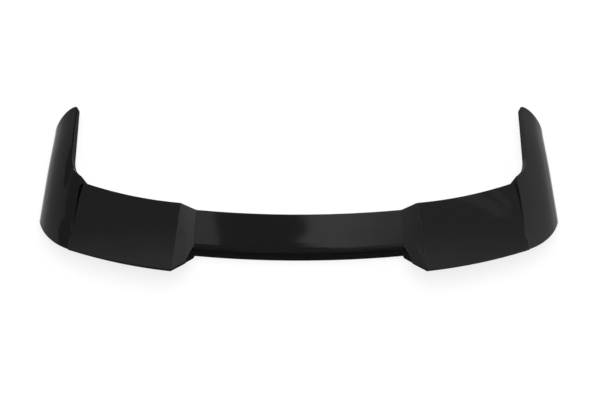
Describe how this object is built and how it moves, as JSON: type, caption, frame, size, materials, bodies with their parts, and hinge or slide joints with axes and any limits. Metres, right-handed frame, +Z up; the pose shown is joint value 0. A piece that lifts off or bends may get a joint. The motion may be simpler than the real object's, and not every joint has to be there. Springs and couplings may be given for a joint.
{
  "type": "roof spoiler",
  "caption": "One-piece gloss black roof spoiler for a hatchback: low centre bar, raised wings with a thin trailing lip, and side ears reaching forward; open and ribbed underneath.",
  "frame": {"origin": "middle of the spoiler's width and depth, at the level of the cheeks' lower edges", "axes": "+X to the right across the car, +Y forward along the car, +Z up"},
  "size_m": [1.164, 0.4427, 0.0625],
  "materials": {
    "shell": "gloss black"
  },
  "bodies": {
    "root": {"spoiler": "shell"}
  },
  "joints": []
}
